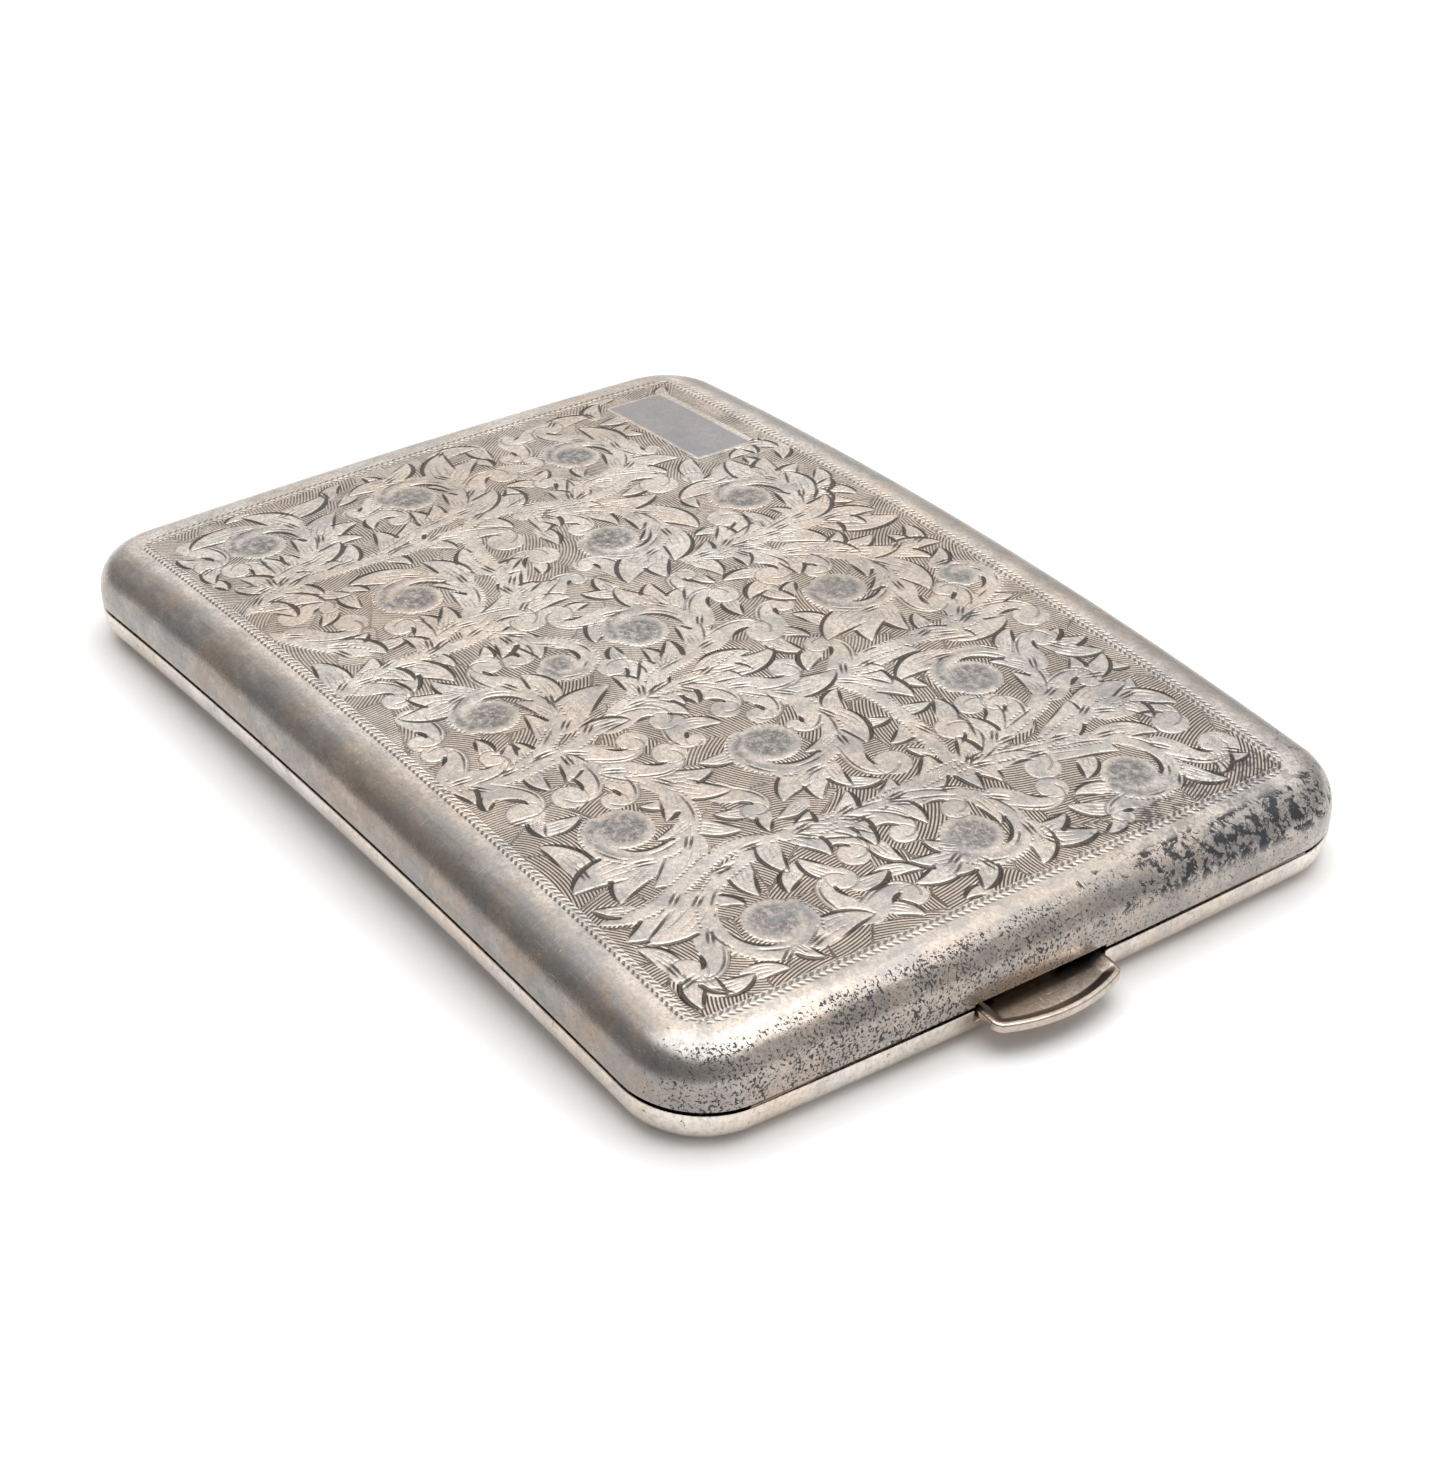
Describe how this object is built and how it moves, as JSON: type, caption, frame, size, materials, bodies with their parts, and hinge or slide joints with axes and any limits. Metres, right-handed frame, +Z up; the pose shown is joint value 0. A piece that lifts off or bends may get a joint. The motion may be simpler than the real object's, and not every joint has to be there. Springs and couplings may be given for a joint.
{
  "type": "card case",
  "caption": "Curved metal pocket case for cards: two hinged shallow shells with rolled edges, shut by a sprung thumb catch at one short end.",
  "frame": {"origin": "centre of the plan bounding box, on the plane the case rests on", "axes": "+X from the hinge to the thumb piece, +Z up through the lid, +Y across the case"},
  "size_m": [0.1048, 0.069, 0.0106],
  "materials": {
    "lid_silver": "satin",
    "base_silver": "satin",
    "thumb_silver": "polished",
    "rim_silver": "satin",
    "hinge_silver": "satin",
    "catch_silver": "satin",
    "pin_steel": "polished",
    "spring_steel": "polished"
  },
  "bodies": {
    "base": {"base_shell": "base_silver", "rim_left": "rim_silver", "rim_right": "rim_silver", "rim_front_left": "rim_silver", "rim_front_right": "rim_silver", "base_bearer": "hinge_silver", "knuckle_1": "hinge_silver", "knuckle_3": "hinge_silver", "knuckle_5": "hinge_silver", "knuckle_7": "hinge_silver", "hinge_pin": "pin_steel", "pin_cap_left": "hinge_silver", "pin_cap_right": "hinge_silver", "latch_guide_left": "catch_silver", "latch_guide_right": "catch_silver", "latch_cover": "catch_silver"},
    "lid": {"lid_shell": "lid_silver", "lid_bearer": "hinge_silver", "knuckle_2": "hinge_silver", "knuckle_4": "hinge_silver", "knuckle_6": "hinge_silver", "keeper_lip": "hinge_silver"},
    "catch": {"thumb_piece": "thumb_silver", "catch_bar": "catch_silver", "catch_spring": "spring_steel", "spring_rivet_left": "catch_silver", "spring_rivet_right": "catch_silver"}
  },
  "joints": [
    {"name": "lid_hinge", "type": "hinge", "parent": "base", "child": "lid", "pos_m": [-0.05142, 0, 0.00333], "axis": [0, -1, 0], "range_deg": [0, 150]},
    {"name": "thumb_press", "type": "slide", "parent": "base", "child": "catch", "axis": [-0.9971, 0, 0.0758], "range_m": [0, 0.0008], "stiffness_N_per_m": 3000}
  ]
}
